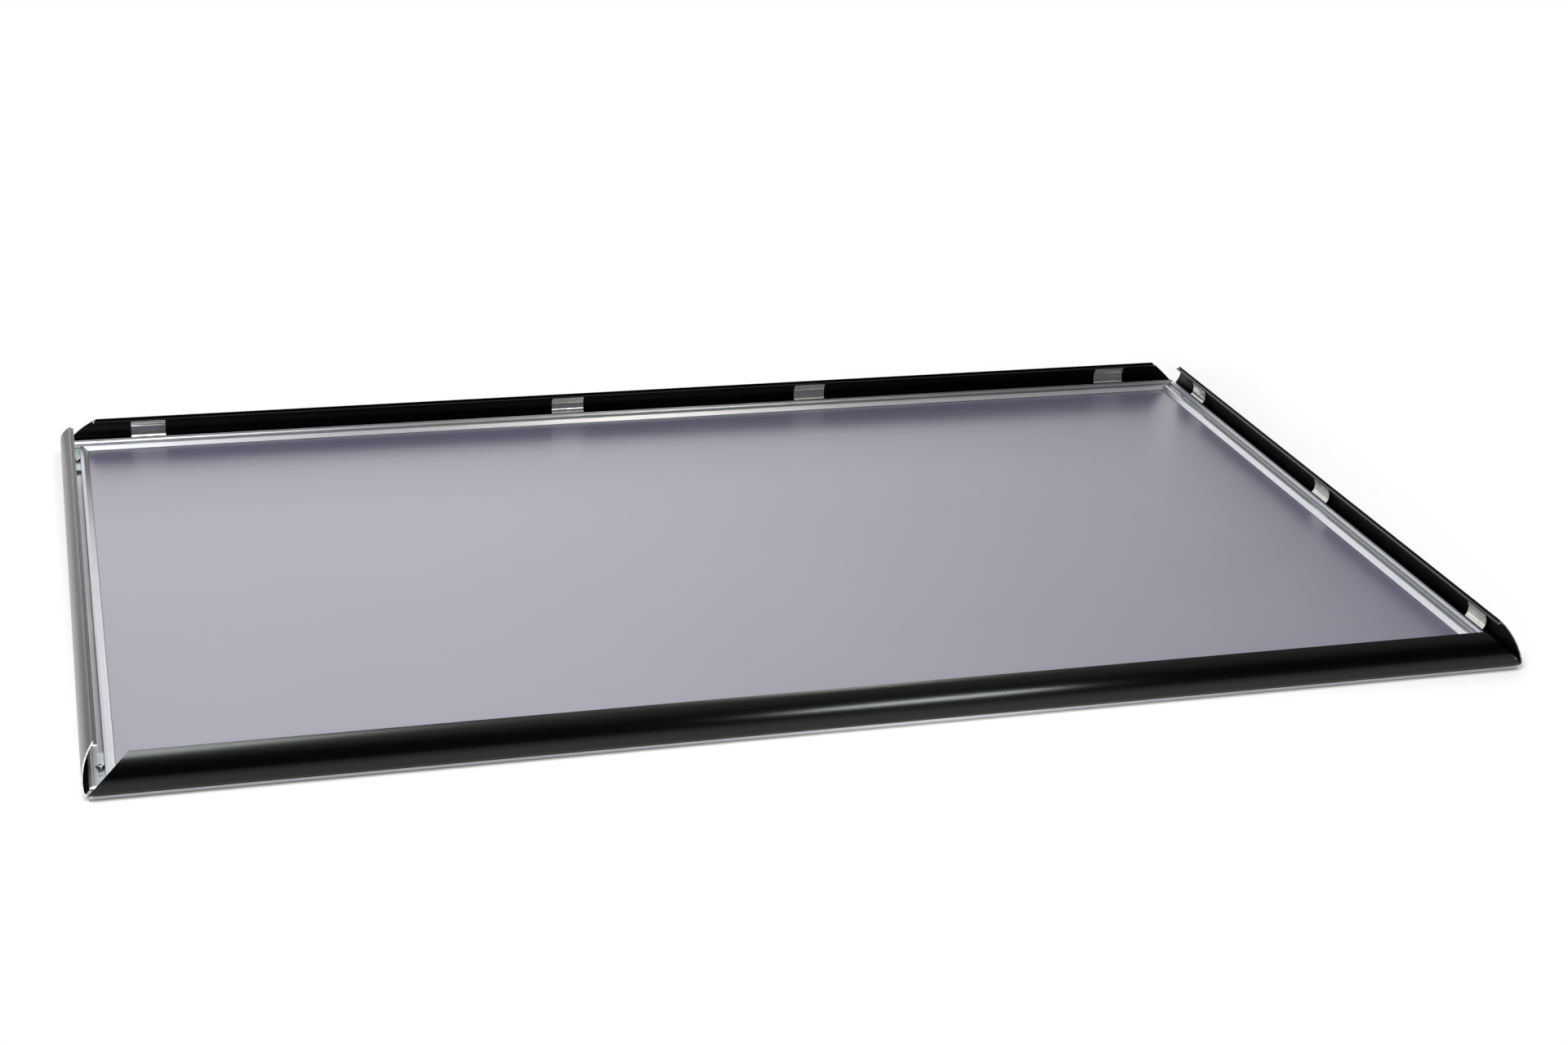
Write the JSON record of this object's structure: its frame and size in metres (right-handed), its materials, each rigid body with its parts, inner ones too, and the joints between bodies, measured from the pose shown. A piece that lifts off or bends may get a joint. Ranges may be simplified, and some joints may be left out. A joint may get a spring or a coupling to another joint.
{
  "type": "poster frame",
  "caption": "Front-opening wall poster frame: mitred silver base rails with hinged, spring-loaded black cover rails, all shown swung open round a grey covered panel.",
  "frame": {"origin": "centre of the underside, the face that lies against the wall", "axes": "+X along the long rails to the right, +Y along the short rails to the back, +Z out of the picture face"},
  "size_m": [0.9554, 0.6498, 0.0277],
  "materials": {
    "natural_aluminium": "natural satin anodised",
    "black_anodised_aluminium": "satin black anodised",
    "spring_steel": "bright rolled",
    "zinc_plated_steel": "blue zinc plated",
    "bright_steel": "bright",
    "grey_board": "matt",
    "anti_glare_film": "satin anti-glare"
  },
  "bodies": {
    "frame": {"base_rail_front": "natural_aluminium", "base_rail_back": "natural_aluminium", "base_rail_left": "natural_aluminium", "base_rail_right": "natural_aluminium", "corner_bracket_front_left": "zinc_plated_steel", "corner_bracket_front_right": "zinc_plated_steel", "corner_bracket_back_right": "zinc_plated_steel", "corner_bracket_back_left": "zinc_plated_steel", "bracket_screw_front_left_1": "bright_steel", "bracket_screw_front_left_2": "bright_steel", "bracket_screw_front_right_1": "bright_steel", "bracket_screw_front_right_2": "bright_steel", "bracket_screw_back_right_1": "bright_steel", "bracket_screw_back_right_2": "bright_steel", "bracket_screw_back_left_1": "bright_steel", "bracket_screw_back_left_2": "bright_steel", "backing_board": "grey_board", "anti_glare_sheet": "anti_glare_film"},
    "front_cover": {"cover_rail_front": "black_anodised_aluminium", "spring_front_1": "spring_steel", "spring_front_2": "spring_steel", "spring_front_3": "spring_steel", "spring_front_4": "spring_steel"},
    "back_cover": {"cover_rail_back": "black_anodised_aluminium", "spring_back_1": "spring_steel", "spring_back_2": "spring_steel", "spring_back_3": "spring_steel", "spring_back_4": "spring_steel"},
    "left_cover": {"cover_rail_left": "black_anodised_aluminium", "spring_left_1": "spring_steel", "spring_left_2": "spring_steel", "spring_left_3": "spring_steel"},
    "right_cover": {"cover_rail_right": "black_anodised_aluminium", "spring_right_1": "spring_steel", "spring_right_2": "spring_steel", "spring_right_3": "spring_steel"}
  },
  "joints": [
    {"name": "front_cover_hinge", "type": "hinge", "parent": "frame", "child": "front_cover", "pos_m": [0, -0.3208, 0.00465], "axis": [-1, 0, 0], "range_deg": [0, 69]},
    {"name": "back_cover_hinge", "type": "hinge", "parent": "frame", "child": "back_cover", "pos_m": [0, 0.3208, 0.00465], "axis": [1, 0, 0], "range_deg": [0, 69]},
    {"name": "left_cover_hinge", "type": "hinge", "parent": "frame", "child": "left_cover", "pos_m": [-0.4732, 0, 0.00465], "axis": [0, 1, 0], "range_deg": [0, 75.5]},
    {"name": "right_cover_hinge", "type": "hinge", "parent": "frame", "child": "right_cover", "pos_m": [0.4732, 0, 0.00465], "axis": [0, -1, 0], "range_deg": [0, 75.5]}
  ]
}
